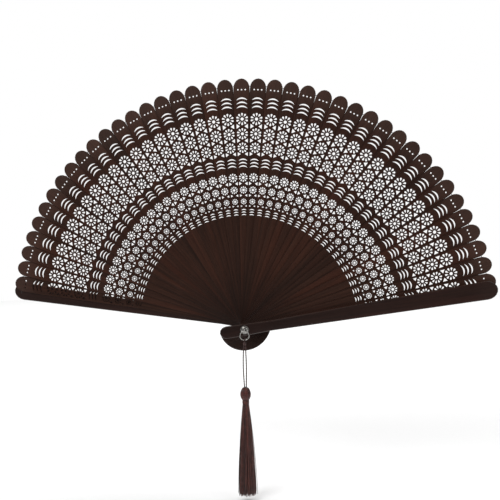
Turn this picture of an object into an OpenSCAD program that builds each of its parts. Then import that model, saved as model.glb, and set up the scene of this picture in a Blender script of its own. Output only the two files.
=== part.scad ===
// Folding fan of pierced sandalwood leaves between two solid guards, open and held upright.
// The rivet runs along Y at the origin, +Z is up, and the front guard faces -Y. Units are mm.

/* [Output] */

// Sub-part to build, or "all"

/* [Opening] */

// Number of pierced leaves between the guards
leaves = 41; // [21:1:41]
// Angle between the two guards when the fan is open, in degrees
open_angle = 162.6; // [120:0.1:170]
// Angle from each guard to the leaf beside it, in degrees
guard_step = 1.9; // [1.5:0.1:3]

/* [Leaf blank] */

// Distance from the rivet to a leaf's tip
tip_radius = 185; // [175:1:195]
// Distance from the rivet to the end of a leaf's tail
tail_length = 18.5; // [15:0.5:20]
// Thickness of a leaf
leaf_thickness = 0.65; // [0.5:0.05:0.8]
// Air gap between neighbouring leaves
leaf_gap = 0.10; // [0.05:0.05:0.2]
// Radius of the rivet hole in every stick
rivet_hole_r = 1.55; // [1.55:0.01:1.6]

/* [Piercing] */

// Number of petals round each rosette
petals = 10; // [6:1:12]
// Radius of the three dots in a leaf's head
dot_r = 0.55; // [0.4:0.05:0.9]
// Distance between neighbouring dots
dot_pitch = 2.75; // [2.2:0.05:3]

/* [Guards] */

// Thickness of a guard
guard_thickness = 2.4; // [1.8:0.1:3]

/* [Rivet] */

// Radius of the rivet's shank
shank_r = 1.5; // [1.4:0.01:1.5]
// Radius of the rivet's domed heads
dome_r = 2.6; // [2.2:0.1:3.2]
// Height of the rivet's domed heads
dome_h = 1.3; // [1:0.1:1.5]
// Radius of the washers under the heads
washer_r = 3.2; // [2.8:0.1:4]
// Thickness of the washers
washer_t = 0.4; // [0.3:0.1:0.6]

/* [Ring] */

// Radius of the ring, to the middle of its wire
ring_r = 3.3; // [3:0.1:3.6]
// Radius of the ring's wire
ring_wire_r = 0.4; // [0.3:0.05:0.45]
// Radius of the eye that holds the ring, to the middle of its wire
eye_r = 1.35; // [1.3:0.05:1.5]
// Radius of the eye's wire
eye_wire_r = 0.5; // [0.4:0.05:0.5]

/* [Tassel] */

// Radius of each of the two hanging cords
cord_r = 0.5; // [0.4:0.05:0.6]
// Widest radius of the tassel's head
head_r = 3.9; // [3:0.1:4.5]
// Height of the tassel's head
head_h = 9.5; // [9:0.5:12]
// Height of the binding round the tassel's neck
neck_h = 2.5; // [2:0.5:4]
// Length of the tassel's skirt
skirt_h = 68; // [60:1:75]
// Radius of the skirt at its hem
hem_r = 6.5; // [5:0.5:8]

/* [Hidden] */

// Fineness of round faces; above 12 they are built as true arcs
$fn = 64;

// Angles are measured at the rivet from +X towards +Z.
front_angle = 90 - open_angle / 2;
rear_angle = 90 + open_angle / 2;
leaf_step = (open_angle - 2 * guard_step) / (leaves - 1);
layer = leaf_thickness + leaf_gap;
stack_half = (leaves - 1) / 2 * layer + leaf_thickness / 2 + leaf_gap;
guard_outer = stack_half + guard_thickness;

// Leaf 1 lies against the rear guard at +Y and the last leaf against the front guard at -Y.
function leaf_angle(k) = rear_angle - guard_step - (k - 1) * leaf_step;
function leaf_y(k) = ((leaves + 1) / 2 - k) * layer;
function leaf_name(k) = str("leaf_", k < 10 ? "0" : "", k);

// Stations [distance from rivet, half width] along one side of a stick.
leaf_side = [[0, 4.3], [16, 3.5], [60, 3.3], [85, 3.4], [112, 4.3], [155, 5.75], [171, 6]];
guard_side = [[0, 4.3], [20, 3.8], [170, 6.7]];
// Length and half width of the rounded tip and tail.
tip_round = [7, 6];
guard_tip_round = [8, 6.75];
tail_round = [5, 4.5];

// Rosettes [distance from rivet, radius, centre hole as a share of the radius].
rosettes = [
    [155.2, 4.5, 0.26], [144.3, 4.15, 0.26], [134, 3.85, 0.26],
    [111.9, 3.25, 0.31], [102.6, 2.75, 0.33], [94, 2.2, 0.35]
];
// Rows of three crescent slots [outermost distance, pitch, half span, rise, width at the middle].
slot_rows = [
    [170.6, 3, 4.15, 1.7, 1.1],
    [125.5, 2.5, 3.3, 1.3, 0.9],
    [88.1, 1.9, 1.85, 0.55, 0.7]
];
// Pairs of three-cornered eyelets [distance from rivet, size, half height as a share of the size].
eyelets = [
    [149.8, 4.4, 0.4], [139.2, 4.1, 0.36], [129.3, 3.9, 0.36],
    [107.4, 3.3, 0.4], [98.5, 2.8, 0.34], [90.6, 2.3, 0.26]
];
dot_radius = 176.8;
thread_radius = 179.2;

// A petal runs from a pointed root to a round end, each a share of the rosette's radius.
petal_root = 0.42;
petal_end_r = 0.16;

// The ring hangs in the eye, and the cord's loop hangs on the ring.
front_head_y = -guard_outer - 0.05 - washer_t;
rear_head_y = guard_outer + washer_t;
eye_y = front_head_y - dome_h - eye_r + 0.33;
socket_depth = 0.8;
ring_play = 0.03;
ring_z = -(eye_r - eye_wire_r - ring_wire_r - ring_play) - ring_r;
ring_foot_z = ring_z - ring_r;
loop_r = 1.1;
loop_wire_r = 0.45;
loop_z = ring_foot_z + ring_wire_r + loop_wire_r + ring_play - loop_r;
knot_r = 1.3;
knot_top_z = -8.4;
knot_foot_z = -11;
knot_h = knot_top_z - knot_foot_z;
head_top_z = -42;
head_foot_z = head_top_z - head_h;
neck_foot_z = head_foot_z - neck_h;

// Hand-set routes of the two cords, from the knot down to the tassel's head, in X, Y, Z.
cord_a_route = [
    [-0.65, eye_y, knot_foot_z], [-1.1, eye_y - 0.1, -18], [-1.3, eye_y, -26],
    [-1.1, eye_y + 0.1, -34], [-0.65, eye_y, head_top_z]
];
cord_b_route = [
    [0.65, eye_y, knot_foot_z], [0.8, eye_y + 0.1, -18], [1, eye_y + 0.1, -26],
    [0.9, eye_y - 0.1, -34], [0.65, eye_y, head_top_z]
];
cord_sides = 8;

// The linking thread steps from the back of one leaf's head to the back of the next.
thread_r = 0.2;
thread_sides = 6;
thread_lift = leaf_thickness / 2 + thread_r + 0.05;
thread_arrive = -2;
thread_leave = 0.8;
thread_end = -0.3;

// ---- outlines ----

// Points of half an ellipse, from its +Y end round its +X end to its -Y end.
function half_ellipse(x, size, steps) = [
    for (i = [0 : steps])
        let (a = 90 - 180 * i / steps)
        [x + size[0] * cos(a), size[1] * sin(a)]
];

// Outline of a stick lying along +X, from its side stations and its two rounded ends.
function stick_outline(side, tip, tail) = concat(
    side,
    half_ellipse(tip_radius - tip[0], tip, 10),
    [for (i = [len(side) - 1 : -1 : 0]) [side[i][0], -side[i][1]]],
    [for (p = half_ellipse(tail_length - tail[0], tail, 6)) [-p[0], -p[1]]]
);

// One petal of a rosette, a drop with its point towards the rosette's middle.
module petal(r) {
    end = (1 - petal_end_r) * r;
    half = 0.97 * petal_end_r * r;
    translate([end, 0]) circle(r = petal_end_r * r);
    polygon([[petal_root * r, 0], [end, -half], [end, half]]);
}

module rosette(x, r, hole) {
    translate([x, 0]) {
        circle(r = hole * r);
        for (i = [0 : petals - 1]) rotate(360 / petals * i) petal(r);
    }
}

// Radius of the arc over a chord of this half span that rises this far above it.
function arc_radius(span, rise) = (span * span + rise * rise) / (2 * rise);

// A crescent slot that bulges towards the leaf's tip, with its points at the ends of its span.
module slot(x, span, rise, width) {
    outer_rise = rise + width / 2;
    inner_rise = rise - width / 2;
    outer_r = arc_radius(span, outer_rise);
    inner_r = arc_radius(span, inner_rise);
    translate([x - rise, 0]) difference() {
        translate([outer_rise - outer_r, 0]) circle(r = outer_r);
        translate([inner_rise - inner_r, 0]) circle(r = inner_r);
    }
}

module slot_row(row) {
    for (i = [0 : 2]) slot(row[0] - i * row[1], row[2], row[3], row[4]);
}

// Two eyelets, one near each edge of the leaf, pointing at its middle.
module eyelet_pair(x, size, tall) {
    base = 0.96 * size;
    point = 0.38 * size;
    half = tall * size;
    for (s = [-1, 1]) polygon([[x - half, s * base], [x + half, s * base], [x, s * point]]);
}

module leaf_blank() {
    difference() {
        polygon(stick_outline(leaf_side, tip_round, tail_round));
        circle(r = rivet_hole_r);
        for (i = [-1 : 1]) translate([dot_radius, i * dot_pitch]) circle(r = dot_r);
        for (row = slot_rows) slot_row(row);
        for (e = eyelets) eyelet_pair(e[0], e[1], e[2]);
        for (f = rosettes) rosette(f[0], f[1], f[2]);
    }
}

module guard_blank() {
    difference() {
        polygon(stick_outline(guard_side, guard_tip_round, tail_round));
        circle(r = rivet_hole_r);
    }
}

// Stands a flat stick up in the fan at an angle and a place along the rivet.
module stick(angle, y, thickness) {
    translate([0, y, 0])
        rotate([90, 0, 0])
        rotate([0, 0, angle])
        linear_extrude(height = thickness, center = true)
        children();
}

// Turns a profile of [radius, height] points about the rivet's axis, with height along -Y.
module turned_on_y(y) {
    translate([0, y, 0]) rotate([90, 0, 0]) rotate_extrude() children();
}

// ---- sticks ----

module leaf(k) {
    color(k % 3 == 0 ? "#3a2a22" : k % 3 == 1 ? "#44302a" : "#33251f")
        stick(leaf_angle(k), leaf_y(k), leaf_thickness) leaf_blank();
}

module rear_guard() {
    color("#3b2620") stick(rear_angle, stack_half + guard_thickness / 2, guard_thickness) guard_blank();
}

module front_guard() {
    color("#3b2620") stick(front_angle, -stack_half - guard_thickness / 2, guard_thickness) guard_blank();
}

// ---- rivet ----

// Half profile of a dome with its flat face at zero height.
module dome_profile() {
    polygon(concat(
        [[0, 0], [dome_r, 0], [dome_r, 0.25]],
        [for (i = [1 : 8]) [dome_r * cos(90 * i / 8), 0.25 + (dome_h - 0.25) * sin(90 * i / 8)]]
    ));
}

module rivet_pin() {
    color("silver") {
        translate([0, rear_head_y, 0]) rotate([-90, 0, 0]) rotate_extrude() dome_profile();
        translate([0, rear_head_y, 0])
            rotate([90, 0, 0])
            cylinder(r = shank_r, h = rear_head_y - front_head_y + socket_depth - 0.05);
    }
}

module rivet_cap() {
    color("silver") difference() {
        union() {
            turned_on_y(front_head_y) dome_profile();
            translate([0, eye_y, 0])
                rotate([0, 90, 0])
                rotate_extrude()
                translate([eye_r, 0])
                circle(r = eye_wire_r);
        }
        translate([0, front_head_y + 1, 0])
            rotate([90, 0, 0])
            cylinder(r = shank_r + 0.02, h = socket_depth + 1);
    }
}

module washer(y) {
    color("silver") turned_on_y(y) translate([rivet_hole_r, 0]) square([washer_r - rivet_hole_r, washer_t]);
}

module front_washer() {
    washer(front_head_y + washer_t);
}

module rear_washer() {
    washer(rear_head_y);
}

// ---- ring and tassel ----

module ring() {
    color("silver") translate([0, eye_y, ring_z])
        rotate([90, 0, 0])
        rotate_extrude()
        translate([ring_r, 0])
        circle(r = ring_wire_r);
}

// The cord's loop round the ring, closed by a small knot.
module cord_loop() {
    color("#40231f") {
        translate([0, eye_y, loop_z])
            rotate([0, 90, 0])
            rotate_extrude()
            translate([loop_r, 0])
            circle(r = loop_wire_r);
        translate([0, eye_y, knot_foot_z]) rotate_extrude() polygon(concat(
            [[0, 0]],
            [for (i = [0 : 6]) [knot_r * (0.85 + 0.15 * sin(180 * i / 6)), knot_h * i / 6]],
            [[0, knot_h]]
        ));
    }
}

// Smooth curve through a route, with a few rings to each of its stretches.
function spline(p0, p1, p2, p3, t) = 0.5 * (
    2 * p1 + (p2 - p0) * t
    + (2 * p0 - 5 * p1 + 4 * p2 - p3) * t * t
    + (3 * p1 - p0 - 3 * p2 + p3) * t * t * t
);
function held(route, i) = route[max(0, min(len(route) - 1, i))];
function smooth_route(route, steps) = concat(
    [for (i = [0 : len(route) - 2], s = [0 : steps - 1])
        spline(held(route, i - 1), held(route, i), held(route, i + 1), held(route, i + 2), s / steps)],
    [route[len(route) - 1]]
);

// Closed tube over rings of points that all have the same number of sides.
module tube(rings, sides) {
    last = len(rings) - 1;
    polyhedron(
        points = [for (ring = rings) for (p = ring) p],
        faces = concat(
            [[for (i = [0 : sides - 1]) i]],
            [for (j = [0 : last - 1], i = [0 : sides - 1])
                let (a = j * sides, b = a + sides, n = (i + 1) % sides)
                [a + i, b + i, b + n, a + n]],
            [[for (i = [sides - 1 : -1 : 0]) last * sides + i]]
        ),
        convexity = 4
    );
}

// A hanging cord's rings lie level.
module hanging_cord(route) {
    rings = [for (p = smooth_route(route, 3))
        [for (i = [0 : cord_sides - 1])
            p + cord_r * [cos(360 * i / cord_sides), sin(360 * i / cord_sides), 0]]];
    color("#40231f") tube(rings, cord_sides);
}

module tassel_cord_a() {
    hanging_cord(cord_a_route);
}

module tassel_cord_b() {
    hanging_cord(cord_b_route);
}

// Turns a half profile of [radius, z] points about the tassel's own vertical axis.
module turned_on_tassel(points) {
    translate([0, eye_y, 0]) rotate_extrude() polygon(points);
}

module tassel_head() {
    color("#5a2a22") turned_on_tassel(concat(
        [[0, head_foot_z], [2.1, head_foot_z]],
        [for (i = [1 : 9])
            let (t = i / 10)
            [1.9 + (head_r - 1.9) * pow(sin(180 * pow(t, 0.9)), 0.8), head_foot_z + head_h * t]],
        [[1.6, head_top_z], [0, head_top_z]]
    ));
}

module tassel_neck() {
    color("#6a342a") turned_on_tassel([
        [0, neck_foot_z], [2.3, neck_foot_z], [2.6, neck_foot_z + 0.4],
        [2.6, head_foot_z - 0.4], [2.3, head_foot_z], [0, head_foot_z]
    ]);
}

module tassel_skirt() {
    color("#4a2620") turned_on_tassel(concat(
        [[0, neck_foot_z - skirt_h]],
        [for (i = [0 : 8])
            let (t = i / 8)
            [hem_r - (hem_r - 2.4) * pow(t, 1.6), neck_foot_z - skirt_h * (1 - t)]],
        [[0, neck_foot_z]]
    ));
}

// ---- linking thread ----

// A ring of the thread at an angle round the rivet and a place along it.
function thread_ring(angle, y) = [
    for (i = [0 : thread_sides - 1])
        let (a = 360 * i / thread_sides, r = thread_radius + thread_r * cos(a))
        [r * cos(angle), y + thread_r * sin(a), r * sin(angle)]
];

module linking_thread() {
    start_y = -stack_half + thread_r + 0.02;
    rings = concat(
        [thread_ring(front_angle - 1.2, start_y), thread_ring(front_angle - 0.7, start_y)],
        [for (k = [leaves : -1 : 1], d = [thread_arrive, k == 1 ? thread_end : thread_leave])
            thread_ring(leaf_angle(k) + d, leaf_y(k) + thread_lift)]
    );
    color("#2a1a16") tube(rings, thread_sides);
}

// ---- assembly ----

for (k = [1 : leaves]) leaf(k);
rear_guard();
front_guard();
rivet_pin();
rivet_cap();
front_washer();
rear_washer();
ring();
cord_loop();
tassel_cord_a();
tassel_cord_b();
tassel_head();
tassel_neck();
tassel_skirt();
linking_thread();
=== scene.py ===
"""Looks of a folding fan of pierced sandalwood leaves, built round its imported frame.

The fan is open and upright. The rivet runs along Y at the origin, +Z is up and the front faces -Y.
Angles of the sticks are measured at the rivet, from +X towards +Z.
"""

import logging
import random
from collections.abc import Callable, Iterable, Iterator, Sequence
from dataclasses import dataclass, field
from enum import Enum
from functools import cached_property
from math import cos, pi, radians, sin, sqrt

import bpy
from mathutils import Matrix, Vector


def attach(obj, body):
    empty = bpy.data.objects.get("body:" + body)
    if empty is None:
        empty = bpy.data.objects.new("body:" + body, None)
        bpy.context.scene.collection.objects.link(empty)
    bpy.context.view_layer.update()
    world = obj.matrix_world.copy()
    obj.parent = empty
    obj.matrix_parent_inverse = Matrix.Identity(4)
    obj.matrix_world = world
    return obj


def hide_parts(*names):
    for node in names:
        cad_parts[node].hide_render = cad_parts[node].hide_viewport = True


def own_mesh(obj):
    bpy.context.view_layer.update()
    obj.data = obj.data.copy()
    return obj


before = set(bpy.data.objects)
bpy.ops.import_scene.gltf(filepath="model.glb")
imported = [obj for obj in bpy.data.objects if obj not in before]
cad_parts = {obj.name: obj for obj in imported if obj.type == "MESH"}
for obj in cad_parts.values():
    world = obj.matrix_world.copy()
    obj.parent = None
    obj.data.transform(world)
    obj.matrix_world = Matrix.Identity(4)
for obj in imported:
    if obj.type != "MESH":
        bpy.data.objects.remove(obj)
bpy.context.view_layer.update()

LOG = logging.getLogger("fan")
MM = 0.001
TURN = 2 * pi

Object = bpy.types.Object
Material = bpy.types.Material
NodeTree = bpy.types.NodeTree
Node = bpy.types.Node
Socket = bpy.types.NodeSocket
Feed = Socket | float | Sequence[float]
Feeds = dict[str | int, Feed]
Colour = tuple[float, float, float]
Station = tuple[Vector, Vector, Vector, float]


# ---- places on the fan ----


@dataclass(frozen=True)
class Fan:
    """Where the sticks of the open fan lie.

    Attributes:
        leaves: Number of pierced leaves between the two guards.
        rear_angle: Angle of the rear guard, in degrees.
        guard_step: Angle from a guard to the leaf beside it, in degrees.
        leaf_step: Angle from one leaf to the next, in degrees.
        layer: Distance along the rivet from one leaf to the next.
        leaf_thickness: Thickness of a leaf.
        stitch_radius: Distance from the rivet to the thread that links the leaves' heads.
        hang_y: Place along the rivet's axis of the eye, the ring and the tassel.
    """

    leaves: int = 41
    rear_angle: float = 171.3
    guard_step: float = 1.9
    leaf_step: float = 3.97
    layer: float = 0.75 * MM
    leaf_thickness: float = 0.65 * MM
    stitch_radius: float = 179.2 * MM
    hang_y: float = -20.595 * MM

    def leaf_name(self, number: int) -> str:
        """Name of a leaf, counted from the rear guard."""
        return f"leaf_{number:02d}"

    def leaf_angle(self, number: int) -> float:
        """Angle of a leaf, in radians."""
        return radians(self.rear_angle - self.guard_step - (number - 1) * self.leaf_step)

    def leaf_y(self, number: int) -> float:
        """Place of a leaf's middle along the rivet."""
        return ((self.leaves + 1) / 2 - number) * self.layer

    def guard_angle(self, name: str) -> float:
        """Angle of a guard, in radians."""
        return radians(self.rear_angle if name == "rear_guard" else 180 - self.rear_angle)


def on_stick(angle: float, along: float, across: float, y: float) -> Vector:
    """Finds a point of a stick.

    Args:
        angle: The stick's angle, in radians.
        along: Distance from the rivet along the stick.
        across: Distance from its middle line, towards the rear guard.
        y: Place along the rivet.

    Returns:
        The point in the fan's frame.
    """
    return Vector((
        along * cos(angle) - across * sin(angle),
        y,
        along * sin(angle) + across * cos(angle),
    ))


def smooth_line(points: Sequence[Vector], steps: int) -> list[Vector]:
    """Lays a smooth curve through a route.

    Args:
        points: The route.
        steps: How many pieces each stretch of the route is cut into.

    Returns:
        Points along the curve, the route's own among them.
    """
    last = len(points) - 1
    line = []
    for i in range(last):
        before, start, end, after = (points[max(0, min(last, j))] for j in (i - 1, i, i + 1, i + 2))
        for step in range(steps):
            t = step / steps
            line.append(0.5 * (
                2 * start
                + (end - before) * t
                + (2 * before - 5 * start + 4 * end - after) * t * t
                + (3 * start - before - 3 * end + after) * t**3
            ))
    return [*line, points[last].copy()]


def length_of(line: Sequence[Vector]) -> float:
    """Length of a line of points."""
    return sum((b - a).length for a, b in zip(line, line[1:], strict=False))


def walk(line: Sequence[Vector], side: Vector | None = None) -> Iterator[Station]:
    """Follows a line with two directions square to it that turn no more than they must.

    Args:
        line: The line's points.
        side: The first direction at the start of the line, or None for any.

    Yields:
        Each point, its two directions, and how far along the line it is.
    """
    normal, gone = side, 0.0
    for i, point in enumerate(line):
        ahead = (line[min(i + 1, len(line) - 1)] - line[max(i - 1, 0)]).normalized()
        if normal is None:
            normal = ahead.orthogonal()
        normal = (normal - ahead * normal.dot(ahead)).normalized()
        gone += (point - line[i - 1]).length if i else 0.0
        yield point, normal, ahead.cross(normal), gone


def add_object(name: str, data: bpy.types.ID) -> Object:
    """Puts a mesh, a lamp or a camera in the scene, and returns its object."""
    made = bpy.data.objects.new(name, data)
    bpy.context.scene.collection.objects.link(made)
    return made


# ---- mesh making ----

PLY_SHARE = 0.53  # radius of a ply, as a share of its cord's
PLY_TONES = (0.35, -0.35)  # one ply is dyed a little brighter than the other
CORE_SHADE_TONE = -0.4  # the core under laid threads is given a darker tone than they are, as painted shade in the gaps between them


@dataclass
class Yarn:
    """Gathers tubes and turned bodies into one mesh, and remembers how thread runs on each.

    Attributes:
        points: Every vertex so far.
        faces: Every face so far, as numbers of vertices.
        lay: Each vertex's cosine and sine round its thread, and its place along it.
        tone: How dark or bright each vertex's thread is dyed, from -1 to 1.
    """

    points: list[Vector] = field(default_factory=list)
    faces: list[tuple[int, ...]] = field(default_factory=list)
    lay: list[tuple[float, float, float]] = field(default_factory=list)
    tone: list[float] = field(default_factory=list)

    def rings(self, rings: Sequence[Sequence[Vector]], along: Sequence[float], tone: float) -> None:
        """Adds a skin over rings of points, closed at both ends.

        Args:
            rings: Closed rings that all have the same number of points.
            along: How far along the thread each ring is.
            tone: The dye's tone.
        """
        sides = len(rings[0])
        first = len(self.points)
        last = first + (len(rings) - 1) * sides
        for ring, far in zip(rings, along, strict=True):
            for i, point in enumerate(ring):
                turn = TURN * i / sides
                self.points.append(point)
                self.lay.append((cos(turn), sin(turn), far))
                self.tone.append(tone)
        for a in range(first, last, sides):
            for i in range(sides):
                n = (i + 1) % sides
                self.faces.append((a + i, a + n, a + sides + n, a + sides + i))
        self.faces.append(tuple(first + i for i in reversed(range(sides))))
        self.faces.append(tuple(last + i for i in range(sides)))

    def tube(
        self,
        line: Sequence[Vector],
        radius: float | Callable[[float], float],
        sides: int = 6,
        tone: float = 0.0,
        flat: float = 1.0,
        side: Vector | None = None,
    ) -> None:
        """Adds a tube along a line.

        Args:
            line: The tube's middle line.
            radius: The tube's radius, or a function that gives it for a share of the length.
            sides: Number of sides.
            tone: The dye's tone.
            flat: Thickness of the tube as a share of its width.
            side: Direction in which a flat tube is wide.
        """
        turns = [TURN * k / sides for k in range(sides)]
        rings, far = [], []
        for i, (point, normal, other, gone) in enumerate(walk(line, side)):
            size = radius(i / (len(line) - 1)) if callable(radius) else radius
            rings.append([point + size * (cos(t) * normal + flat * sin(t) * other) for t in turns])
            far.append(gone)
        self.rings(rings, far, tone)

    def plied(self, line: Sequence[Vector], radius: float, pitch: float) -> None:
        """Adds a cord of two plies twisted round each other.

        Args:
            line: The cord's middle line, with points closer together than an eighth of a turn.
            radius: The cord's outer radius.
            pitch: Length of cord in one turn of its twist.
        """
        ply = radius * PLY_SHARE
        arm = radius - ply
        for n, tone in enumerate(PLY_TONES):
            strand = []
            for point, normal, other, gone in walk(line):
                turn = TURN * (gone / pitch + n / len(PLY_TONES))
                strand.append(point + arm * (cos(turn) * normal + sin(turn) * other))
            self.tube(strand, ply, tone=tone)

    def turned(self, profile: Sequence[tuple[float, float]], y: float, sides: int = 32) -> None:
        """Adds a closed body turned about the tassel's own upright line.

        Args:
            profile: Radius and height pairs, from the top down.
            y: Place of the upright line along the rivet.
            sides: Number of sides.
        """
        turns = [-TURN * k / sides for k in range(sides)]
        rings = [[Vector((r * cos(t), y + r * sin(t), z)) for t in turns] for r, z in profile]
        # The core's darker tone is painted shade between the threads laid over it.
        self.rings(rings, [profile[0][1] - z for _, z in profile], CORE_SHADE_TONE)

    def build(self, name: str) -> Object:
        """Makes the mesh object, with smooth faces and its thread attributes."""
        mesh = bpy.data.meshes.new(name)
        mesh.from_pydata([tuple(p) for p in self.points], [], self.faces)
        lay = mesh.attributes.new("thread_lay", "FLOAT_VECTOR", "POINT")
        lay.data.foreach_set("vector", [x for row in self.lay for x in row])
        mesh.attributes.new("thread_tone", "FLOAT", "POINT").data.foreach_set("value", self.tone)
        mesh.polygons.foreach_set("use_smooth", [len(f) <= 4 for f in self.faces])
        mesh.update()
        return add_object(name, mesh)


# ---- shader trees ----


class Bench:
    """Adds nodes to one shader tree and wires them up."""

    def __init__(self, tree: NodeTree) -> None:
        """Starts on a tree."""
        self.tree = tree

    def feed(self, socket: Socket, value: Feed) -> None:
        """Links a socket to another one, or sets its value."""
        if isinstance(value, Socket):
            self.tree.links.new(value, socket)
        elif isinstance(value, (int, float)):
            socket.default_value = value
        else:
            value = tuple(value)
            short = len(value) < len(socket.default_value)
            socket.default_value = (*value, 1.0) if short else value

    def feed_all(self, node: Node, feeds: Feeds) -> None:
        """Feeds the inputs of a node, by name or number."""
        for key, value in feeds.items():
            self.feed(node.inputs[key], value)

    def node(self, kind: str, feeds: Feeds | None = None, **settings: object) -> Node:
        """Adds a node.

        Args:
            kind: The node's type, without its leading ShaderNode.
            feeds: Values or sockets for its inputs, by name or number.
            **settings: Properties of the node itself.

        Returns:
            The new node.
        """
        made = self.tree.nodes.new("ShaderNode" + kind)
        for key, value in settings.items():
            setattr(made, key, value)
        self.feed_all(made, feeds or {})
        return made

    def math(self, operation: str, a: Feed, b: Feed = 0.0, c: Feed = 0.0) -> Socket:
        """Adds a Math node and returns its result."""
        return self.node("Math", {0: a, 1: b, 2: c}, operation=operation).outputs[0]

    def times(self, a: Feed, b: Feed) -> Socket:
        """Multiplies two values and returns the result."""
        return self.math("MULTIPLY", a, b)

    def ease(
        self, value: Feed, low: float, high: float, start: float = 0.0, end: float = 1.0
    ) -> Socket:
        """Maps a value smoothly from one range to another, and returns the result."""
        feeds = {0: value, 1: low, 2: high, 3: start, 4: end}
        return self.node("MapRange", feeds, interpolation_type="SMOOTHSTEP").outputs[0]

    def ramp(
        self, value: Feed, low: Feed, high: Feed, start: Feed = 0.0, end: Feed = 1.0
    ) -> Socket:
        """Maps a value evenly, held at both ends of its range, and returns the result."""
        return self.node("MapRange", {0: value, 1: low, 2: high, 3: start, 4: end}).outputs[0]

    def blend(self, share: Feed, a: Feed, b: Feed, how: str = "MIX") -> Socket:
        """Mixes two colours and returns the result."""
        feeds = {0: share, 6: a, 7: b}
        return self.node("Mix", feeds, data_type="RGBA", blend_type=how).outputs[2]

    def scaled(self, place: Feed, scale: Feed) -> Socket:
        """Scales a place evenly and returns the result."""
        feeds = {0: place, "Scale": scale}
        return self.node("VectorMath", feeds, operation="SCALE").outputs[0]

    def grey(self, value: Feed) -> Socket:
        """Makes a grey of a value and returns the result."""
        return self.node("CombineXYZ", {0: value, 1: value, 2: value}).outputs[0]

    def spot(self) -> Socket:
        """Returns each point's place on the object."""
        return self.node("TexCoord").outputs["Object"]

    def stretch(self, place: Feed, scale: Sequence[float], shift: Feed = (0, 0, 0)) -> Socket:
        """Scales a place along its three axes, moves it, and returns the result."""
        feeds = {0: place, 1: scale, 2: shift}
        return self.node("VectorMath", feeds, operation="MULTIPLY_ADD").outputs[0]

    def noise(
        self, place: Feed, detail: float = 2.0, rough: float = 0.5, scale: float = 1.0
    ) -> Socket:
        """Adds a noise texture and returns its value."""
        feeds = {"Vector": place, "Scale": scale, "Detail": detail, "Roughness": rough}
        return self.node("TexNoise", feeds).outputs[0]

    def own(self, name: str) -> Socket:
        """Returns a number that each object holds under this name."""
        made = self.node("Attribute", attribute_type="OBJECT", attribute_name=name)
        return made.outputs["Fac"]

    def woven(self, name: str) -> Node:
        """Returns the node that reads a value held by each vertex."""
        return self.node("Attribute", attribute_type="GEOMETRY", attribute_name=name)

    def bump(
        self, height: Feed, distance: float, strength: float, under: Socket | None = None
    ) -> Socket:
        """Adds a bump, on top of another where one is given, and returns the normal."""
        feeds = {"Strength": strength, "Distance": distance, "Height": height}
        return self.node("Bump", feeds | ({} if under is None else {"Normal": under})).outputs[0]


# Cells of each layer of the grain per metre along, through and across a stick.
GRAIN_CELLS = {
    "drift": (20, 60, 45),
    "streak": (15, 500, 640),
    "fine": (60, 2400, 3900),
    "figure": (10, 60, 85),
    "pore": (430, 5200, 8200),
}
GRAIN_WANDER = 0.8 * MM  # how far the grain strays to each side
SEED_STEP = (3.1, 1.7, 2.3)
FIBRE_CELLS = (2.0, 2.0, 900.0)  # round a thread, and per metre along it

# Stretches of a stick, each as two distances from the rivet, negative on the tail's side.
TAIL_NARROWS = (0.0, 16 * MM)
TAIL_ROUND = (-13.5 * MM, -18.5 * MM)
TIP_ROUND = (178 * MM, 185 * MM)
DUSTY_TIP = (165 * MM, 180 * MM)
DARKER_FOOT = (70 * MM, 8 * MM)


class Effect(Enum):
    """The shader effects that several finishes share."""

    GRAIN = "wood grain"
    OUTLINE = "stick outline"
    TWIST = "thread twist"
    SCUFF = "fine scuffs"


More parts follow.
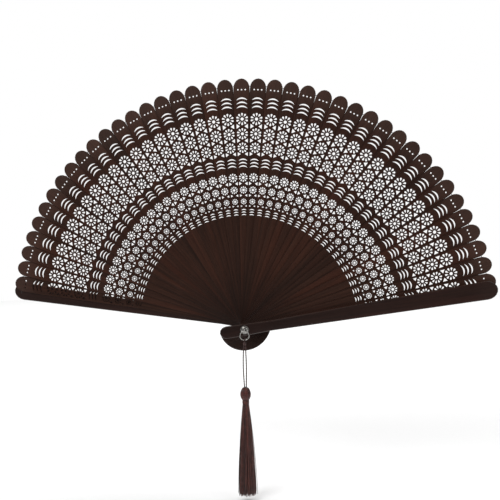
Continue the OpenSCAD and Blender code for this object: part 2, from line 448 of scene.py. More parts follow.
class Effects:
    """Builds each shared effect once, as a node group."""

    groups: dict[Effect, NodeTree] = {}

    @classmethod
    def place(cls, bench: Bench, effect: Effect, feeds: Feeds) -> Node:
        """Puts a shared effect in a material.

        Args:
            bench: The material's bench.
            effect: Which effect.
            feeds: Values or sockets for the group's inputs.

        Returns:
            The group's node.
        """
        if effect not in cls.groups:
            makers = (cls.grain, cls.outline, cls.twist, cls.scuff)
            cls.groups[effect] = dict(zip(Effect, makers, strict=True))[effect]()
        made = bench.tree.nodes.new("ShaderNodeGroup")
        made.node_tree = cls.groups[effect]
        bench.feed_all(made, feeds)
        return made

    @staticmethod
    def group(
        effect: Effect, inputs: Iterable[str], outputs: Iterable[str]
    ) -> tuple[Bench, Sequence[Socket], Node]:
        """Starts a node group.

        Args:
            effect: The effect that it makes.
            inputs: The names of the inputs, a vector first and then values.
            outputs: The names of the outputs, all values.

        Returns:
            The group's bench, its inputs, and its output node.
        """
        tree = bpy.data.node_groups.new(effect.value, "ShaderNodeTree")
        kind = "NodeSocketVector"
        for name in inputs:
            tree.interface.new_socket(name=name, in_out="INPUT", socket_type=kind)
            kind = "NodeSocketFloat"
        for name in outputs:
            tree.interface.new_socket(name=name, in_out="OUTPUT", socket_type=kind)
        entry = tree.nodes.new("NodeGroupInput")
        return Bench(tree), entry.outputs, tree.nodes.new("NodeGroupOutput")

    @staticmethod
    def stick_place(bench: Bench, place: Socket, angle: Socket) -> Socket:
        """Turns a place in the fan into one along, through and across a stick."""
        feeds = {"Vector": place, "Angle": angle}
        return bench.node("VectorRotate", feeds, rotation_type="Y_AXIS").outputs[0]

    @classmethod
    def grain(cls) -> NodeTree:
        """Builds close, straight grain that runs along a stick, with its pores."""
        inputs = ("Place", "Stick Angle", "Seed")
        results = ("Streak", "Fine", "Figure", "Pore", "Height")
        bench, at, leave = cls.group(Effect.GRAIN, inputs, results)
        stick = cls.stick_place(bench, at["Place"], at["Stick Angle"])
        shift = bench.scaled(SEED_STEP, at["Seed"])
        drift = bench.noise(bench.stretch(stick, GRAIN_CELLS["drift"], shift))
        wander = bench.math("MULTIPLY_ADD", drift, 2 * GRAIN_WANDER, -GRAIN_WANDER)
        lift = bench.node("CombineXYZ", {"Z": wander}).outputs[0]
        stick = bench.node("VectorMath", {0: stick, 1: lift}, operation="ADD").outputs[0]

        def layer(name: str, detail: float, rough: float) -> Socket:
            """Adds one layer of the grain."""
            return bench.noise(bench.stretch(stick, GRAIN_CELLS[name], shift), detail, rough)

        streak, fine = layer("streak", 4, 0.6), layer("fine", 2, 0.5)
        pore = bench.ease(layer("pore", 1, 0.4), 0.62, 0.74)
        height = bench.math("MULTIPLY_ADD", streak, 0.5, bench.times(fine, 0.5))
        height = bench.math("SUBTRACT", height, bench.times(pore, 0.6))
        figure = layer("figure", 2, 0.5)
        found = (streak, fine, figure, pore, height)
        bench.feed_all(leave, dict(zip(results, found, strict=True)))
        return bench.tree

    @classmethod
    def outline(cls) -> NodeTree:
        """Builds masks of a stick's rim, where the wood paints its rim shade and highlight, of its
        tip and of its foot near the rivet, and the height of its crown.
        """
        widths = ("Widens", "Wide From", "Narrow", "Wide", "Tail", "Rim")
        inputs = ("Place", "Stick Angle", *widths)
        bench, at, leave = cls.group(Effect.OUTLINE, inputs, ("Rim", "Tip", "Foot", "Crown"))
        stick = cls.stick_place(bench, at["Place"], at["Stick Angle"])
        parts = bench.node("SeparateXYZ", {0: stick})
        along, across = parts.outputs["X"], bench.math("ABSOLUTE", parts.outputs["Z"])
        blade = bench.ramp(along, at["Widens"], at["Wide From"], at["Narrow"], at["Wide"])
        tail = bench.ramp(along, *TAIL_NARROWS, at["Tail"], at["Narrow"])
        ends = bench.math("MAXIMUM", bench.ramp(along, *TIP_ROUND), bench.ramp(along, *TAIL_ROUND))
        inside = bench.math("SUBTRACT", 1.0, bench.math("POWER", ends, 2.0))
        half = bench.times(bench.math("MAXIMUM", blade, tail), bench.math("SQRT", inside))
        margin = bench.math("DIVIDE", bench.math("SUBTRACT", half, across), at["Rim"])
        share = bench.math("DIVIDE", across, bench.math("MAXIMUM", half, 0.5 * MM))
        share = bench.math("POWER", bench.math("MINIMUM", share, 1.0), 2.0)
        bench.feed_all(leave, {
            "Rim": bench.ease(margin, 1.0, 0.0),
            "Tip": bench.ease(along, *DUSTY_TIP),
            "Foot": bench.ease(along, *DARKER_FOOT),
            "Crown": bench.math("SUBTRACT", 1.0, share),
        })
        return bench.tree

    @classmethod
    def twist(cls) -> NodeTree:
        """Builds the slanting ridges of twisted fibres along a thread."""
        inputs = ("Lay", "Pitch", "Plies")
        bench, at, leave = cls.group(Effect.TWIST, inputs, ("Ridge", "Fibre"))
        lay = bench.node("SeparateXYZ", {0: at["Lay"]})
        around = bench.math("ARCTAN2", lay.outputs["Y"], lay.outputs["X"])
        turns = bench.times(bench.math("DIVIDE", lay.outputs["Z"], at["Pitch"]), TURN)
        wave = bench.math("SINE", bench.math("MULTIPLY_ADD", around, at["Plies"], turns))
        fibre = bench.noise(bench.stretch(at["Lay"], FIBRE_CELLS), 3, 0.6, 2.0)
        ridge = bench.math("MULTIPLY_ADD", wave, 0.5, 0.5)
        bench.feed_all(leave, {"Ridge": ridge, "Fibre": fibre})
        return bench.tree

    @classmethod
    def scuff(cls) -> NodeTree:
        """Builds fine crossing scuffs and a cloudy film."""
        bench, at, leave = cls.group(Effect.SCUFF, ("Place", "Fineness"), ("Scuff", "Film"))
        place = bench.scaled(at["Place"], at["Fineness"])
        one = bench.noise(bench.stretch(place, (1.0, 14.0, 14.0)), 2, 0.6)
        other = bench.noise(bench.stretch(place, (14.0, 14.0, 1.0), (5, 2, 1)), 2, 0.6)
        lines = bench.ease(bench.math("MAXIMUM", one, other), 0.6, 0.72)
        bench.feed_all(leave, {"Scuff": lines, "Film": bench.noise(place, 3, 0.55, 0.4)})
        return bench.tree


# ---- finishes ----


@dataclass(frozen=True)
class SurfaceFinish:
    """What every finish has.

    Attributes:
        name: The finish's name.
    """

    name: str

    def feeds(self, bench: Bench) -> Feeds:
        """Builds what feeds the Principled shader."""
        raise NotImplementedError

    def material(self) -> Material:
        """Builds the material."""
        material = bpy.data.materials.new(f"made_{self.name}")
        material.use_nodes = True
        bench = Bench(material.node_tree)
        bench.feed_all(material.node_tree.nodes["Principled BSDF"], self.feeds(bench))
        return material


@dataclass(frozen=True)
class WoodFinish(SurfaceFinish):
    """Dark stained sandalwood, waxed.

    Attributes:
        dark: Colour of the late wood.
        light: Colour of the early wood.
        red: Colour that the figure leans to.
        edge: Colour painted into the rim: painted shade on a leaf, a painted highlight on a guard.
        dusty: Colour that the tip leans to.
        roughness: Roughness of the waxed face.
        wax: Weight of the wax coat.
        widens: Distance from the rivet at which a stick starts to widen.
        wide_from: Distance at which it is at its widest.
        narrow: Half width at its narrowest.
        wide: Half width at its widest.
        rim: Width of the rim.
        crown: How far the face rises at its middle line.
        gloss: Specular level.
        tail: Half width of the tail.
        streak: How strong the streaks are, from 0 to 1.
        spread: How far the sticks differ in tone.
        foot_darkening: How much darker the wood is round the rivet.
    """

    dark: Colour
    light: Colour
    red: Colour
    edge: Colour
    dusty: Colour
    roughness: float
    wax: float
    widens: float
    wide_from: float
    narrow: float
    wide: float
    rim: float
    crown: float
    gloss: float = 0.2
    tail: float = 4.4 * MM
    streak: float = 0.6
    spread: float = 0.14
    foot_darkening: float = 0.32

    def feeds(self, bench: Bench) -> Feeds:
        """Builds wood that reads each stick's angle, tone, warmth and seed."""
        stick = {"Place": bench.spot(), "Stick Angle": bench.own("stick_angle")}
        seed = {"Seed": bench.own("stick_seed")}
        grain = Effects.place(bench, Effect.GRAIN, stick | seed).outputs
        sizes = {
            "Widens": self.widens,
            "Wide From": self.wide_from,
            "Narrow": self.narrow,
            "Wide": self.wide,
            "Tail": self.tail,
            "Rim": self.rim,
        }
        outline = Effects.place(bench, Effect.OUTLINE, stick | sizes).outputs
        least, most = 0.5 - self.streak / 2, 0.5 + self.streak / 2
        streak = bench.ease(grain["Streak"], 0.3, 0.7, least, most)
        colour = bench.blend(streak, self.dark, self.light)
        redness = bench.ease(grain["Figure"], 0.4, 0.7, 0.0, 0.6)
        redness = bench.math("MULTIPLY_ADD", bench.own("stick_warmth"), 0.12, redness)
        colour = bench.blend(bench.math("MAXIMUM", redness, 0.0), colour, self.red)
        tone = bench.math("MULTIPLY_ADD", bench.own("stick_tone"), self.spread, 1.0)
        tone = bench.times(tone, bench.ease(grain["Fine"], 0.3, 0.7, 0.86, 1.12))
        tone = bench.times(tone, bench.ease(grain["Pore"], 0, 1, 1.0, 0.6))
        # Darker towards the rivet, by the foot mask.
        tone = bench.times(tone, bench.ease(outline["Foot"], 0, 1, 1.0, 1.0 - self.foot_darkening))
        colour = bench.blend(bench.times(outline["Tip"], 0.5), colour, self.dusty)
        colour = bench.blend(1.0, colour, bench.grey(tone), "MULTIPLY")
        # Painted rim line: painted shade between overlapping leaves, a painted highlight along the
        # guards' rounded edges.
        colour = bench.blend(bench.times(outline["Rim"], 0.5), colour, self.edge)
        rough = bench.ease(grain["Fine"], 0.3, 0.7, self.roughness - 0.05, self.roughness + 0.08)
        rough = bench.math("SUBTRACT", rough, bench.times(outline["Rim"], 0.08))
        crown = bench.bump(outline["Crown"], self.crown, 1.0)
        return {
            "Base Color": colour,
            "Roughness": bench.math("MULTIPLY_ADD", grain["Pore"], 0.15, rough),
            "Specular IOR Level": self.gloss,
            "Coat Weight": self.wax,
            "Coat Roughness": 0.28,
            "Normal": bench.bump(grain["Height"], 0.03 * MM, 0.55, crown),
        }


@dataclass(frozen=True)
class MetalFinish(SurfaceFinish):
    """Nickel plate, polished and a little scuffed.

    Attributes:
        colour: Colour of the clean metal.
        film: Colour where a film has dulled it.
        roughness: Roughness of the polished metal.
    """

    colour: Colour
    film: Colour
    roughness: float

    def feeds(self, bench: Bench) -> Feeds:
        """Builds scuffed metal."""
        feeds = {"Place": bench.spot(), "Fineness": 900.0}
        scuff = Effects.place(bench, Effect.SCUFF, feeds).outputs
        film = bench.ease(scuff["Film"], 0.45, 0.7)
        rough = bench.math("MULTIPLY_ADD", film, 0.14, self.roughness)
        return {
            "Base Color": bench.blend(bench.times(film, 0.6), self.colour, self.film),
            "Metallic": 1.0,
            "Roughness": bench.math("MULTIPLY_ADD", scuff["Scuff"], 0.12, rough),
            "Normal": bench.bump(scuff["Scuff"], 0.008 * MM, 0.4),
        }


@dataclass(frozen=True)
class SilkFinish(SurfaceFinish):
    """Dyed silk thread.

    Attributes:
        deep: Colour on the darkest threads, and in the grooves as painted shade.
        bright: Colour on the brightest threads, and on the ridges as a painted highlight.
        roughness: Roughness along the thread.
        sheen: Weight of the silk's sheen.
        pitch: Length of thread in one turn of its twist.
    """

    deep: Colour
    bright: Colour
    roughness: float
    sheen: float
    pitch: float

    def feeds(self, bench: Bench) -> Feeds:
        """Builds silk that reads how each vertex lies on its thread."""
        lay = bench.woven("thread_lay").outputs["Vector"]
        feeds = {"Lay": lay, "Pitch": self.pitch, "Plies": 2.0}
        twist = Effects.place(bench, Effect.TWIST, feeds).outputs
        dye_and_twist_shade = bench.math("MULTIPLY_ADD", bench.woven("thread_tone").outputs["Fac"], 0.42, 0.45)
        cloud = bench.noise(bench.spot(), 2, 0.5, 260.0)
        dye_and_twist_shade = bench.math("ADD", dye_and_twist_shade, bench.ease(cloud, 0.3, 0.7, -0.15, 0.15))
        # Painted shade in the twist's grooves and a painted highlight on its ridges.
        dye_and_twist_shade = bench.math("ADD", dye_and_twist_shade, bench.ease(twist["Ridge"], 0, 1, -0.12, 0.12))
        dye_and_twist_shade = bench.math("ADD", dye_and_twist_shade, bench.ease(twist["Fibre"], 0.3, 0.7, -0.1, 0.1))
        smooth, dull = self.roughness - 0.06, self.roughness + 0.1
        height = bench.math("MULTIPLY_ADD", twist["Fibre"], 0.4, twist["Ridge"])
        return {
            "Base Color": bench.blend(bench.ease(dye_and_twist_shade, 0.0, 1.0), self.deep, self.bright),
            "Roughness": bench.ease(twist["Fibre"], 0.3, 0.7, smooth, dull),
            "Sheen Weight": self.sheen,
            "Sheen Roughness": 0.35,
            "Specular IOR Level": 0.45,
            "Normal": bench.bump(height, 0.04 * MM, 0.6),
        }


@dataclass(frozen=True)
class StudioFinish(SurfaceFinish):
    """Matt white paper for the floor.

    Attributes:
        white: The paper's reflectance.
    """

    white: float

    def feeds(self, bench: Bench) -> Feeds:
        """Builds the paper's faint tooth."""
        tooth = bench.noise(bench.spot(), 3, 0.6, 350.0)
        white = bench.ease(tooth, 0.3, 0.7, self.white - 0.01, self.white)
        return {"Base Color": bench.grey(white), "Roughness": 0.9, "Specular IOR Level": 0.1}


class Finish(Enum):
    """Every finish on the fan and round it."""

    LEAF = WoodFinish(
        "leaf_wood",
        dark=(0.0205, 0.0080, 0.0047),
        light=(0.0510, 0.0192, 0.0110),
        red=(0.0620, 0.0185, 0.0096),
        # Painted shade line along each leaf's rim.
        edge=(0.0150, 0.0068, 0.0048),
        dusty=(0.0840, 0.0480, 0.0370),
        roughness=0.46,
        wax=0.0,
        widens=85 * MM,
        wide_from=162 * MM,
        narrow=3.4 * MM,
        wide=5.97 * MM,
        rim=0.45 * MM,
        crown=0.2 * MM,
    )
    GUARD = WoodFinish(
        "guard_wood",
        dark=(0.0110, 0.0048, 0.0036),
        light=(0.0270, 0.0112, 0.0080),
        red=(0.0340, 0.0108, 0.0071),
        # Painted highlight along each guard's rim.
        edge=(0.0800, 0.0420, 0.0310),
        dusty=(0.0300, 0.0150, 0.0115),
        roughness=0.40,
        wax=0.12,
        widens=20 * MM,
        wide_from=170 * MM,
        narrow=3.8 * MM,
        wide=6.7 * MM,
        rim=0.7 * MM,
        crown=0.35 * MM,
    )
    RIVET = MetalFinish("rivet_metal", (0.44, 0.43, 0.41), (0.20, 0.18, 0.155), 0.24)
    RING = MetalFinish("ring_metal", (0.48, 0.47, 0.45), (0.22, 0.20, 0.175), 0.2)
    CORD = SilkFinish(
        "cord_silk", (0.016, 0.0055, 0.0048), (0.085, 0.028, 0.022), 0.42, 0.15, 1.4 * MM
    )
    TASSEL = SilkFinish(
        "tassel_silk", (0.013, 0.0042, 0.0036), (0.170, 0.050, 0.038), 0.36, 0.2, 1.1 * MM
    )
    BINDING = SilkFinish(
        "binding_silk", (0.018, 0.0055, 0.0045), (0.15, 0.045, 0.034), 0.34, 0.2, 0.9 * MM
    )
    LINK = SilkFinish(
        "linking_thread", (0.010, 0.0045, 0.004), (0.034, 0.017, 0.013), 0.5, 0.1, 0.8 * MM
    )
    PAPER = StudioFinish("studio_paper", 0.93)

    @cached_property
    def made(self) -> Material:
        """The finish's material, made the first time it is asked for."""
        return self.value.material()

    def dress(self, piece: Object) -> None:
        """Puts this finish on every slot of a piece, or on a new slot where it has none."""
        if not piece.material_slots:
            piece.data.materials.append(self.made)
        for slot in piece.material_slots:
            slot.material = self.made


def place_piece(piece: Object, body: str, finish: Finish, *stands_for: str) -> Object:
    """Dresses a new piece, puts it on its body and hides the nodes that it stands for.

    Args:
        piece: The piece.
        body: The body that it moves with.
        finish: Its finish.
        *stands_for: The nodes that it stands for.

    Returns:
        The piece.
    """
    finish.dress(piece)
    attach(piece, body)
    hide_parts(*stands_for)
    LOG.info("%s rides on %s, with %d faces", piece.name, body, len(piece.data.polygons))
    return piece


# ---- sticks ----


@dataclass
class Sticks:
    """The pierced leaves and the two solid guards, whose shapes come from the frame.

    Attributes:
        fan: Where the sticks lie.
        leaf_edge: Width of the broken edge round a leaf and its piercings.
        guard_edge: Width of the rounded edge of a guard.
        seed: Seed of the chance differences between sticks.
    """

    fan: Fan
    leaf_edge: float = 0.05 * MM
    guard_edge: float = 0.8 * MM
    seed: int = 41

    def ease_edges(self, stick: Object, width: float, segments: int) -> None:
        """Rounds the sharp edges of a stick, with modifiers only."""
        weld = stick.modifiers.new("joined_skin", "WELD")
        weld.merge_threshold = 0.001 * MM
        if segments > 1:
            flats = stick.modifiers.new("whole_flats", "DECIMATE")
            flats.decimate_type = "DISSOLVE"
            flats.angle_limit = radians(1)
        bevel = stick.modifiers.new("broken_edge", "BEVEL")
        bevel.width = width
        bevel.segments = segments
        bevel.limit_method = "ANGLE"
        bevel.angle_limit = radians(40)
        bevel.use_clamp_overlap = False

    def mark(self, stick: Object, angle: float, chance: random.Random) -> None:
        """Writes on a stick the numbers that its wood reads."""
        stick["stick_angle"] = angle
        stick["stick_seed"] = chance.uniform(0, 20)
        stick["stick_tone"] = chance.uniform(-1, 1)
        stick["stick_warmth"] = chance.uniform(-1, 1)

    def build(self) -> None:
        """Dresses every leaf and guard."""
        chance = random.Random(self.seed)
        for number in range(1, self.fan.leaves + 1):
            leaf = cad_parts[self.fan.leaf_name(number)]
            self.mark(leaf, self.fan.leaf_angle(number), chance)
            self.ease_edges(leaf, self.leaf_edge, 1)
            Finish.LEAF.dress(leaf)
        for name in ("rear_guard", "front_guard"):
            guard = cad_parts[name]
            self.mark(guard, self.fan.guard_angle(name), chance)
            self.ease_edges(guard, self.guard_edge, 4)
            Finish.GUARD.dress(guard)
        LOG.info("%d leaves and 2 guards dressed", self.fan.leaves)


@dataclass
class LinkingThread:
    """The flat silk thread that holds the leaves' heads at their spacing.

    In each gap between two heads it steps round the edge of the leaf on its left, from that leaf's
    front to its back, and it lies on the leaf's back as far as the next gap.

    Attributes:
        fan: Where the sticks lie.
        half_width: Half width of the flat thread.
        flat: Thickness of the thread as a share of its width.
        lift: Height of the thread's middle above the wood.
        edge: Distance from a leaf's middle line to the thread where it steps round the edge.
        reach: Half the distance between two leaves' middle lines at the thread.
        guard_reach: Distance from an end leaf's middle line to the thread's end on the guard.
        gathered: Share of a stitch's width that is left when the fan is closed; not used.
    """

    fan: Fan
    half_width: float = 0.24 * MM
    flat: float = 0.16
    lift: float = 0.05 * MM
    edge: float = 6.0 * MM
    reach: float = 6.21 * MM
    guard_reach: float = 8.13 * MM
    gathered: float = 0.04

    def route(self, number: int) -> list[Vector]:
        """Finds the stitch's path on one leaf, from the gap on its right to the gap on its left."""
        fan = self.fan
        angle, y = fan.leaf_angle(number), fan.leaf_y(number)
        face = fan.leaf_thickness / 2 + self.lift
        start = self.guard_reach if number == fan.leaves else self.reach
        end = self.guard_reach if number == 1 else self.reach
        bend = 0.1 * MM
        stations = [
            (-start, -face),
            (-self.edge - bend, -face),
            (-self.edge - 0.3 * bend, -0.8 * face),
            (-self.edge, 0.0),
            (-self.edge + 0.1 * bend, 0.8 * face),
            (-self.edge + bend, face),
            *((share * self.edge, face) for share in (-0.5, 0.0, 0.5)),
            (end, face),
        ]
        return [on_stick(angle, fan.stitch_radius, across, y + out) for across, out in stations]

    def build(self) -> None:
        """Sews one stitch to each leaf."""
        for number in range(1, self.fan.leaves + 1):
            yarn = Yarn()
            angle = self.fan.leaf_angle(number)
            outward = on_stick(angle, 1.0, 0.0, 0.0)
            route = self.route(number)
            yarn.tube(route, self.half_width, sides=8, flat=self.flat, side=outward)
            stitch = yarn.build(f"link_stitch_{number:02d}")
            place_piece(stitch, self.fan.leaf_name(number), Finish.LINK, "linking_thread")
            anchor = on_stick(angle, self.fan.stitch_radius, -self.edge, self.fan.leaf_y(number))
            across = tuple(on_stick(angle, 0.0, 1.0, 0.0))
            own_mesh(stitch)


@dataclass
class Hardware:
    """The rivet with its washers, and the ring, whose shapes come from the frame."""

    def build(self) -> None:
        """Dresses the metal."""
        for name in ("rivet_pin", "rivet_cap", "front_washer", "rear_washer"):
            Finish.RIVET.dress(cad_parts[name])
        Finish.RING.dress(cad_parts["ring"])
        LOG.info("rivet, washers and ring dressed")


# ---- tassel ----

# How far each hanging cord strays to the right and to the rear on its way down, in millimetres.
CORD_SWAY = {
    "a": ((-0.65, 0), (-1.1, -0.1), (-1.3, 0), (-1.1, 0.1), (-0.65, 0)),
    "b": ((0.65, 0), (0.8, 0.1), (1.0, 0.1), (0.9, -0.1), (0.65, 0)),
}


@dataclass
class Tassel:
    """The tassel on its two cords, with the loop that holds it on the ring.

    Attributes:
        y: Place of the tassel along the rivet.
        cord_radius: Radius of each hanging cord.
        cord_twist: Length of cord in one turn of its twist.
        loop_radius: Radius of the loop's middle line.
        loop_z: Height of the loop's middle.
        loop_cord: Radius of the loop's cord.
        knot_top: Top of the knot under the loop.
        knot_foot: Foot of the knot, where the two cords leave it.
        head_top: Top of the head.
        head_height: Height of the head.
        head_radius: Widest radius of the head.
        head_waist: Radius of the head at the neck and where its threads turn in.
        head_end: Radius of the head's flat ends.
        neck_height: Height of the binding round the neck.
        skirt_length: Length of the skirt.
        hem_radius: Radius of the skirt at its hem.
        threads: Number of threads in the skirt.
        seed: Seed of the chance differences between threads.
    """

    y: float
    cord_radius: float = 0.5 * MM
    cord_twist: float = 2.4 * MM
    loop_radius: float = 1.1 * MM
    loop_z: float = -7.24 * MM
    loop_cord: float = 0.43 * MM
    knot_top: float = -8.4 * MM
    knot_foot: float = -11 * MM
    head_top: float = -42 * MM
    head_height: float = 9.5 * MM
    head_radius: float = 3.9 * MM
    head_waist: float = 1.9 * MM
    head_end: float = 1.7 * MM
    neck_height: float = 2.5 * MM
    skirt_length: float = 68 * MM
    hem_radius: float = 6.5 * MM
    threads: int = 380
    seed: int = 7

    def around(self, radius: float, turn: float, z: float) -> Vector:
        """A point round the tassel's upright line."""
        return Vector((radius * cos(turn), self.y + radius * sin(turn), z))

    def cord_route(self, name: str) -> list[Vector]:
        """The given route of a hanging cord, from the knot to the head."""
        heights = (self.knot_foot, -18 * MM, -26 * MM, -34 * MM, self.head_top)
        route = zip(CORD_SWAY[name], heights, strict=True)
        return [Vector((x * MM, self.y + y * MM, z)) for (x, y), z in route]

    def cords(self) -> list[Object]:
        """Twists the two hanging cords."""
        made = []
        for name in CORD_SWAY:
            yarn = Yarn()
            yarn.plied(smooth_line(self.cord_route(name), 40), self.cord_radius, self.cord_twist)
            cord = yarn.build(f"hanging_cord_{name}")
            made.append(place_piece(cord, "tassel", Finish.CORD, f"tassel_cord_{name}"))
        return made

    def winding(
        self, radius: float, top: float, foot: float, turns: float, steps: int, pinch: float = 0.0
    ) -> list[Vector]:
        """Winds a line down round the tassel's upright line.

        Args:
            radius: The winding's radius.
            top: Its top.
            foot: Its foot.
            turns: Number of turns.
            steps: Number of pieces that it is cut into.
            pinch: How far its ends draw in, as a share of its radius.

        Returns:
            Points along the winding.
        """
        line = []
        for i in range(steps + 1):
            share = i / steps
            swell = 1 - pinch * (2 * share - 1) ** 2
            z = top + (foot - top) * share
            line.append(self.around(radius * swell, TURN * turns * share, z))
        return line

    def loop(self) -> Object:
        """Twists the loop round the ring and whips it closed with a knot."""
        yarn = Yarn()
        r, turns = self.loop_radius, [TURN * i / 64 for i in range(-16, 49)]
        ring = [Vector((0.0, self.y + r * cos(t), self.loop_z + r * sin(t))) for t in turns]
        yarn.plied(ring, self.loop_cord, 1.8 * MM)
        wire = 0.35 * MM
        top, foot = self.knot_top - wire * 0.6, self.knot_foot + wire * 0.6
        yarn.tube(self.winding(0.93 * MM, top, foot, 3.6, 90, 0.12), wire, 8, 0.2)
        yarn.turned([
            (0.4 * MM, self.knot_top + 0.1 * MM),
            (0.85 * MM, self.knot_top - 0.2 * MM),
            (0.95 * MM, (self.knot_top + self.knot_foot) / 2),
            (0.85 * MM, self.knot_foot + 0.2 * MM),
            (0.75 * MM, self.knot_foot + 0.02 * MM),
        ], self.y)
        return place_piece(yarn.build("ring_loop_and_knot"), "tassel", Finish.CORD, "cord_loop")

    def head_profile(self, share: float) -> tuple[float, float]:
        """Radius and height of the head at a share of the way up from its foot."""
        z = self.head_top - self.head_height * (1 - share)
        if not 0 < share < 1:
            return self.head_end, z
        swell = sin(pi * share**0.9) ** 0.8
        return self.head_waist + (self.head_radius - self.head_waist) * swell, z

    def head(self) -> Object:
        """Lays threads side by side down over the head's core, with a ring of cord at its crown."""
        chance = random.Random(self.seed)
        yarn = Yarn()
        thread, count = 0.25 * MM, 44
        shares = [i / 18 for i in reversed(range(19))]
        profile = [self.head_profile(share) for share in shares]
        core = [(max(radius - 1.6 * thread, 0.5 * MM), z) for radius, z in profile]
        yarn.turned(core, self.y, 40)
        for n in range(count):
            lean = chance.uniform(-0.05, 0.05)
            line = []
            for share, (radius, z) in zip(shares, profile, strict=True):
                closed = 0.45 * MM if share == 1 else radius - thread
                turn = TURN * n / count + lean * share + 0.25 * (1 - share)
                line.append(self.around(closed, turn, z - thread * (share == 1)))
            yarn.tube(smooth_line(line, 2), thread, tone=chance.uniform(-1, 1))
        crown_z = self.head_top - 0.32 * MM
        crown = [self.around(1.25 * MM, TURN * i / 40, crown_z) for i in range(41)]
        yarn.plied(smooth_line(crown, 2), 0.42 * MM, 1.5 * MM)
        head = yarn.build("tassel_head_threads")
        return place_piece(head, "tassel", Finish.TASSEL, "tassel_head")

    def neck(self) -> Object:
        """Winds the binding round the neck."""
        yarn = Yarn()
        thread, turns = 0.23 * MM, 6
        top = self.head_top - self.head_height
        foot = top - self.neck_height
        core = [(2.1 * MM, top), (2.2 * MM, (top + foot) / 2), (2.1 * MM, foot)]
        yarn.turned(core, self.y, 40)
        first, last = top - thread * 0.7, foot + thread * 0.7
        yarn.tube(self.winding(2.32 * MM, first, last, turns, turns * 40), thread, tone=0.3)
        neck = yarn.build("tassel_neck_binding")
        return place_piece(neck, "tassel", Finish.BINDING, "tassel_neck")

    def skirt(self) -> Object:
        """Hangs the skirt's threads from the neck, each with its own bend and length."""
        chance = random.Random(self.seed + 1)
        yarn = Yarn()
        top = self.head_top - self.head_height - self.neck_height
        golden = pi * (3 - sqrt(5))
        for n in range(self.threads):
            rank = sqrt((n + 0.5) / self.threads)
            angle = n * golden + chance.uniform(-0.1, 0.1)
            hem = rank * self.hem_radius * chance.uniform(0.9, 1.05)
            if chance.random() < 0.04:
                hem += chance.uniform(0.4, 1.6) * MM
            length = self.skirt_length - chance.uniform(0.0, 2.2) ** 2 * 0.6 * MM
            sway = [chance.uniform(-0.45, 0.45) * MM for _ in range(4)]
            phase = chance.uniform(0, TURN)
            line = []
            for i in range(13):
                share = i / 12
                flare = 1 - (1 - share) ** 1.6
                radius = rank * 2.15 * MM * (1 - flare) + hem * flare
                wave = share * (1 - 0.3 * share)
                point = self.around(radius, angle, top + 0.3 * MM - length * share)
                point.x += wave * (sway[0] * sin(5 * share + phase) + sway[1])
                point.y += wave * (sway[2] * sin(4 * share + phase) + sway[3])
                line.append(point)
            tone = chance.gauss(0, 0.5)
            yarn.tube(line, lambda s: (0.2 - 0.04 * s) * MM, 5, max(-1.0, min(1.3, tone)))
        skirt = yarn.build("tassel_skirt_threads")
        return place_piece(skirt, "tassel", Finish.TASSEL, "tassel_skirt")

    def build(self) -> None:
        made = self.cords()
        on_cord = [self.loop(), self.head(), self.neck()]
        self.skirt()
        for cord, name in zip(made, CORD_SWAY, strict=True):
            path = smooth_line(self.cord_route(name), 8)
            tuple(path[0])
            length_of(path)
            [tuple(p) for p in path]


# ---- studio ----


@dataclass(frozen=True)
class SoftBox:
    """A soft rectangular lamp.

    Attributes:
        name: The lamp's name.
        place: Where it hangs.
        aim: The point that it faces.
        size: Its width and height.
        power: Its power in watts.
    """

    name: str
    place: tuple[float, float, float]
    aim: tuple[float, float, float]
    size: tuple[float, float]
    power: float

    def hang(self) -> None:
        """Hangs the lamp."""
        data = bpy.data.lights.new(self.name, "AREA")
        data.shape = "RECTANGLE"
        data.size, data.size_y = self.size
        data.energy = self.power
        lamp = add_object(self.name, data)
        lamp.location = self.place
        view = Vector(self.aim) - Vector(self.place)
        lamp.rotation_euler = view.to_track_quat("-Z", "Y").to_euler()


SOFT_BOXES = (
    SoftBox("key_box", (-0.55, -0.85, 0.95), (0.0, 0.0, 0.05), (0.7, 0.5), 7.5),
    SoftBox("fill_box", (0.95, -0.8, 0.45), (0.0, 0.0, 0.0), (0.6, 0.6), 2),
    SoftBox("top_box", (0.0, 0.75, 1.3), (0.0, 0.7, 0.0), (2.8, 1.4), 34),
)


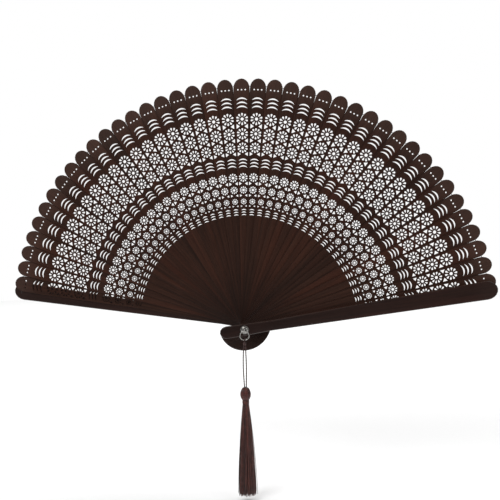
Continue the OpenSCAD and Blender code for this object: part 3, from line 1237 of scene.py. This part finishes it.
@dataclass
class Studio:
    """White paper under the fan, soft light from above and in front, and the camera.

    Attributes:
        distance: Distance from the rivet to the camera, along the view.
        lens: The camera's focal length on a 36 mm sensor.
        yaw: How far the view turns from straight on, in degrees.
        elevation: How far the camera looks down, in degrees.
        roll: How far the camera leans, in degrees.
        rivet_right: How far right of the view's middle the rivet stands.
        rivet_up: How far above the view's middle the rivet stands.
        floor_z: Height of the floor, just under the tassel.
        room: Strength of the room's own light.
    """

    distance: float = 0.600
    lens: float = 57.2
    yaw: float = -3.5
    elevation: float = 3.4
    roll: float = -1.1
    rivet_right: float = -0.0029
    rivet_up: float = -0.0575
    floor_z: float = -0.1265
    room: float = 0.2

    def camera(self) -> None:
        """Places the camera at its viewing angle."""
        yaw, down, lean = (radians(a) for a in (self.yaw, self.elevation, self.roll))
        level = Vector((cos(yaw), -sin(yaw), 0.0))
        flat = Vector((sin(yaw), cos(yaw), 0.0))
        ahead = cos(down) * flat - Vector((0.0, 0.0, sin(down)))
        upright = level.cross(ahead)
        right = cos(lean) * level + sin(lean) * upright
        up = cos(lean) * upright - sin(lean) * level
        data = bpy.data.cameras.new("camera")
        data.lens = self.lens
        data.sensor_width = 36.0
        data.clip_start = 0.02
        camera = add_object("camera", data)
        turn = Matrix((right, up, -ahead)).transposed().to_4x4()
        place = -self.rivet_right * right - self.rivet_up * up - self.distance * ahead
        camera.matrix_world = Matrix.Translation(place) @ turn
        bpy.context.scene.camera = camera

    def paper(self) -> None:
        """Lays the paper floor, whose two far corners are rounded."""
        front, half, back, corner = -0.28, 1.0, 1.25, 0.5
        outline = [(half, front), (-half, front)]
        for middle, start in ((-half + corner, pi), (half - corner, pi / 2)):
            for i in range(13):
                turn = start - pi / 2 * i / 12
                x, y = middle + corner * cos(turn), back - corner + corner * sin(turn)
                outline.append((x, y))
        mesh = bpy.data.meshes.new("paper")
        points = [(x, y, self.floor_z) for x, y in reversed(outline)]
        mesh.from_pydata(points, [], [range(len(outline))])
        floor = add_object("paper", mesh)
        Finish.PAPER.dress(floor)

    def light(self) -> None:
        """Hangs the lamps and sets the room's own light, which looks white to the camera."""
        for box in SOFT_BOXES:
            box.hang()
        white = (1.0, 1.0, 1.0, 1.0)
        world = bpy.data.worlds.new("room")
        world.use_nodes = True
        bench = Bench(world.node_tree)
        room = world.node_tree.nodes["Background"]
        bench.feed_all(room, {"Color": white, "Strength": self.room})
        seen = bench.node("Background", {"Color": white, "Strength": 1.0})
        direct = bench.node("LightPath").outputs["Is Camera Ray"]
        both = bench.node("MixShader", {0: direct, 1: room.outputs[0], 2: seen.outputs[0]})
        bench.feed(world.node_tree.nodes["World Output"].inputs["Surface"], both.outputs[0])
        bpy.context.scene.world = world
        bpy.context.scene.view_settings.view_transform = "Standard"


def main() -> None:
    """Builds the camera, the cords and every other piece."""
    logging.basicConfig(level=logging.INFO, format="%(name)s: %(message)s")
    fan = Fan()
    studio = Studio()
    studio.camera()
    Tassel(fan.hang_y).build()
    Sticks(fan).build()
    LinkingThread(fan).build()
    Hardware().build()
    studio.paper()
    studio.light()
    LOG.info("studio ready")


if __name__ == "__main__":
    main()
